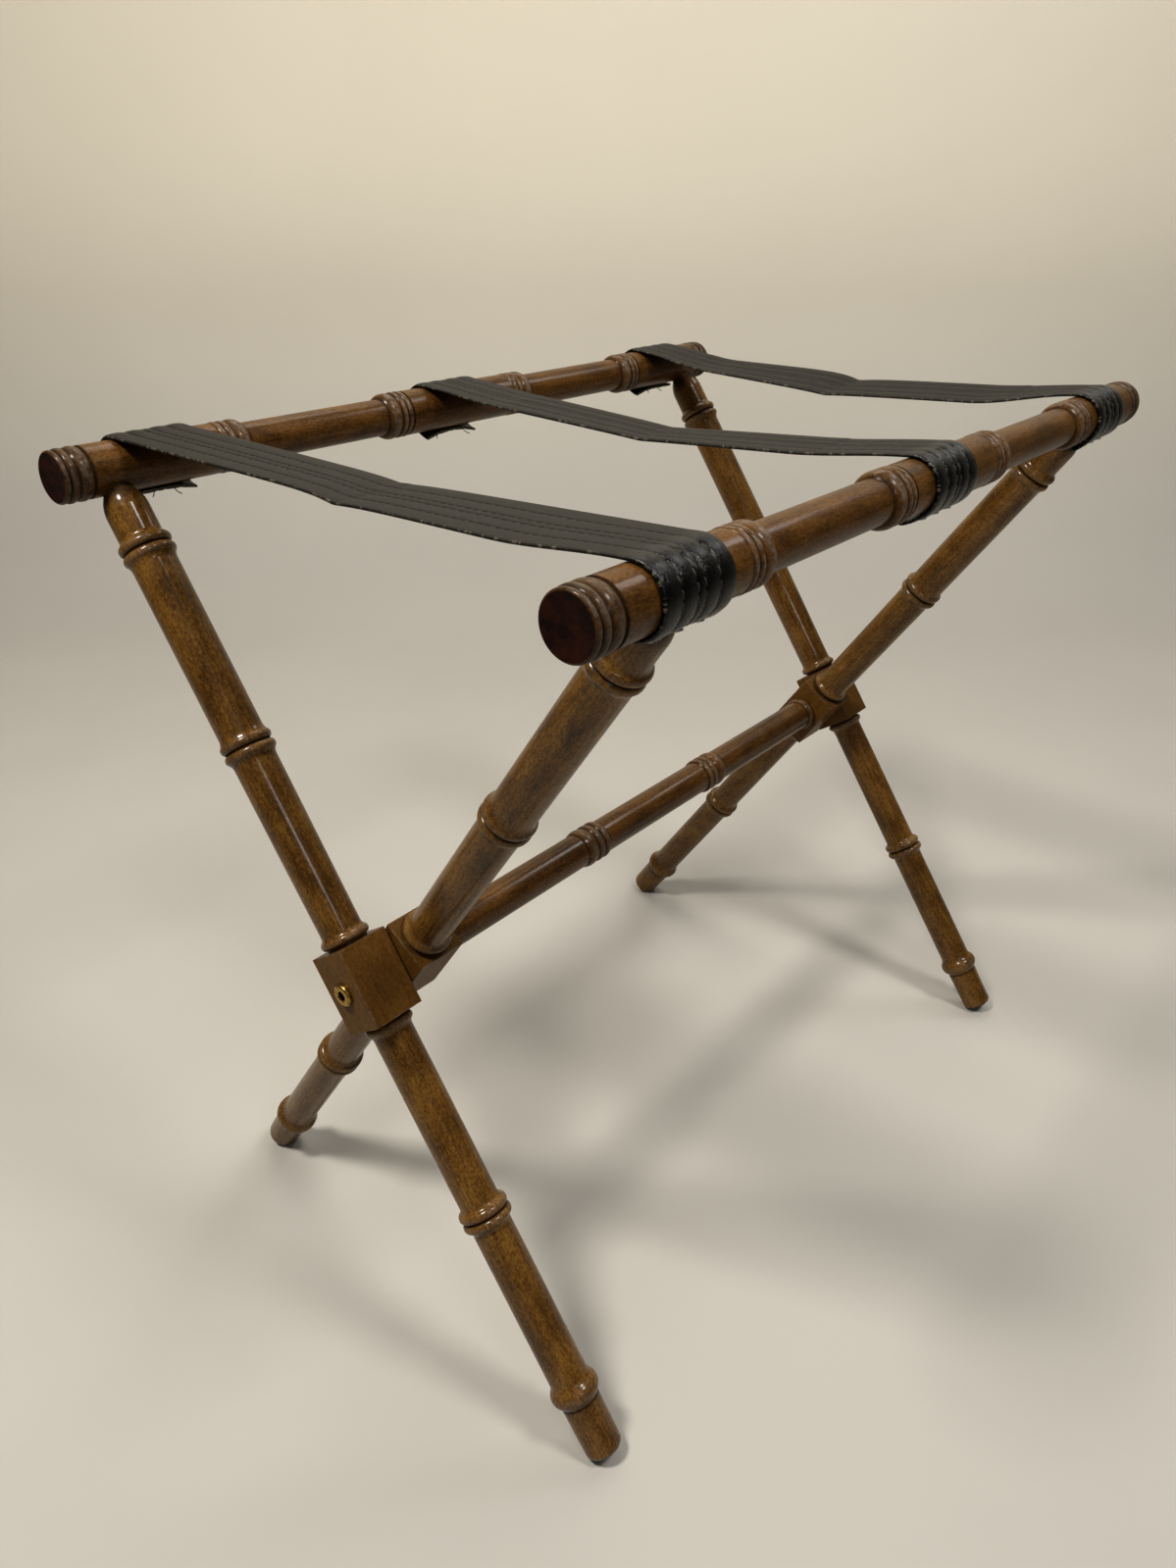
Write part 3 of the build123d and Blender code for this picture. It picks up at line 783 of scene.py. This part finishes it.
# Loose ends are (place across the strap, length, swing), in millimetres but for the swing.
STRAPS = {
    "near": dict(
        near_edge=Edge(-10, 9.7, 3.0, 1.3, 0.0, 0.9),
        far_edge=Edge(-5, 9.1, 1.4, 1.0, 0.0, 0.0),
        tails=(4.5 * MM, 0.0),
        leg_side=-1,
        flare=2.6 * MM,
        loose_ends=((-4, 4.5, -0.8), (9, 6, 0.5)),
    ),
    "middle": dict(
        near_edge=Edge(-8, 2.9, 0.4, 0.3, 0.2, 0.3),
        far_edge=Edge(1, 1.4, 0.4, 0.3, 0.1, 0.2),
        tails=(5 * MM, 4 * MM),
        leg_side=0,
        flare=3.4 * MM,
        loose_ends=((-14, 4, -0.6), (12, 6, 0.7)),
    ),
    "far": dict(
        near_edge=Edge(2, -1.7, 0.8, 0.8, 0.35, 0.5),
        far_edge=Edge(-2, 2.8, 4.7, 1.5, 0.9, 0.3),
        tails=(4.5 * MM, 0.0),
        leg_side=1,
        flare=3.4 * MM,
        loose_ends=((6, 5, 0.6), (-8, 4, -0.4)),
    ),
}
for number, (place, shape) in enumerate(STRAPS.items()):
    rng = random.Random(40 + number)
    node = f"strap_{place}"
    loose_ends = shape.pop("loose_ends")
    strap = Strap(node, **shape)
    rows = [strap.length * i / STRAP_ROWS for i in range(STRAP_ROWS + 1)]
    band = sweep(strap, rows, f"strap_{place}_vinyl")
    sewing = stitches(strap, f"strap_{place}_stitches", rng, loose_ends)
    for piece in (band, sewing):
        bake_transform(piece)
    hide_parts(node)

# ---------------------------------------------------------------- stage, lights and camera

CAMERA_PLACE = Vector((-0.59395, -0.44008, 0.67337))
CAMERA_HEADING = math.radians(-49.92)
CAMERA_TILT = math.radians(62.15)
CAMERA_ROLL = math.radians(-0.25)
CAMERA_LENS = 26.08


def backdrop():
    """A pale floor that curves up into a wall behind the rack, square to the camera's heading."""
    s = Shader("backdrop")
    place = s.node("ShaderNodeTexCoord", output="Object")
    mottle = s.noise(s.scaled(place, (2.2, 2.2, 2.2)), detail=4)
    fine = s.noise(s.scaled(place, (180, 180, 180)), detail=3)
    rise = s.fit(s.dot(place, (0, 0, 1)), 0.0, 0.8)
    wall_colour = s.mix(mottle, srgb(228, 221, 204), srgb(237, 230, 213))
    s.set(
        Base_Color=s.mix(rise, s.mix(mottle, srgb(172, 169, 163), srgb(184, 181, 174)), wall_colour),
        Roughness=0.75,
        Normal=s.bump(fine, 0.3 * MM, 0.25),
    )
    near, wall, bend, height, half_width, bend_steps = -4.0, 1.55, 0.5, 3.2, 6.0, 16
    line = [(near, 0.0), (wall - bend, 0.0)]
    line += [
        (wall - bend + bend * math.sin(a), bend - bend * math.cos(a))
        for a in [math.pi / 2 * i / bend_steps for i in range(1, bend_steps + 1)]
    ]
    line += [(wall, height)]
    ahead = Vector((-math.sin(CAMERA_HEADING), math.cos(CAMERA_HEADING), 0))
    aside = Vector((ahead.y, -ahead.x, 0))
    vertices = [ahead * d + Z * z + aside * w for d, z in line for w in (-half_width, half_width)]
    faces = [(2 * i, 2 * i + 1, 2 * i + 3, 2 * i + 2) for i in range(len(line) - 1)]
    mesh = bpy.data.meshes.new("backdrop")
    mesh.from_pydata(vertices, [], faces)
    for polygon in mesh.polygons:
        polygon.use_smooth = True
    mesh.materials.append(s.material)
    piece = bpy.data.objects.new("backdrop", mesh)
    bpy.context.scene.collection.objects.link(piece)


def area_light(name, place, target, size, power, colour):
    data = bpy.data.lights.new(name, "AREA")
    data.shape, data.size, data.energy, data.color = "DISK", size, power, colour
    light = bpy.data.objects.new(name, data)
    light.location = place
    light.rotation_euler = (Vector(target) - Vector(place)).to_track_quat("-Z", "Y").to_euler()
    bpy.context.scene.collection.objects.link(light)


backdrop()
WARM, WHITE, COOL = (1.0, 0.95, 0.87), (1.0, 0.97, 0.92), (0.97, 0.98, 1.0)
SOFT_WARM, DAYLIGHT = (1.0, 0.95, 0.88), (0.94, 0.95, 1.0)
area_light("ceiling_left", (-1.0, 0.3, 2.1), (0, 0, 0.3), size=0.4, power=34, colour=WARM)
area_light("ceiling_front", (0.1, -1.1, 2.2), (0, 0, 0.3), size=0.5, power=20, colour=WHITE)
area_light("ceiling_back", (0.9, 1.0, 2.3), (0.2, 0.2, 0.4), size=1.2, power=13, colour=SOFT_WARM)
area_light("ceiling_right", (1.45, -0.34, 1.93), (0, 0, 0.5), size=0.6, power=6, colour=COOL)
area_light("window", (-0.85, -1.52, 1.42), (-0.27, 0.05, 0.33), size=0.35, power=3, colour=DAYLIGHT)
bpy.context.scene.view_settings.view_transform = "Standard"
bpy.context.scene.view_settings.look = "Medium High Contrast"

# The room beyond the backdrop looks pale, but lights the rack only faintly.
world = bpy.data.worlds.new("studio")
world.use_nodes = True
room, faint = world.node_tree.nodes["Background"], world.node_tree.nodes.new("ShaderNodeBackground")
room.inputs["Color"].default_value, room.inputs["Strength"].default_value = srgb(196, 190, 178), 1.0
faint.inputs["Color"].default_value, faint.inputs["Strength"].default_value = (0.80, 0.80, 0.82, 1), 0.06
choose = world.node_tree.nodes.new("ShaderNodeMixShader")
seen = world.node_tree.nodes.new("ShaderNodeLightPath").outputs["Is Camera Ray"]
output = world.node_tree.nodes["World Output"].inputs["Surface"]
for source, socket in (
    (seen, choose.inputs[0]),
    (faint.outputs[0], choose.inputs[1]),
    (room.outputs[0], choose.inputs[2]),
    (choose.outputs[0], output),
):
    world.node_tree.links.new(source, socket)
bpy.context.scene.world = world

camera_data = bpy.data.cameras.new("camera")
camera_data.lens, camera_data.sensor_width = CAMERA_LENS, 36.0
camera_data.clip_start = 0.01
camera = bpy.data.objects.new("camera", camera_data)
camera.location = CAMERA_PLACE
aim = Euler((CAMERA_TILT, 0, CAMERA_HEADING)).to_matrix() @ Matrix.Rotation(CAMERA_ROLL, 3, "Z")
camera.rotation_euler = aim.to_euler()
bpy.context.scene.collection.objects.link(camera)
bpy.context.scene.camera = camera
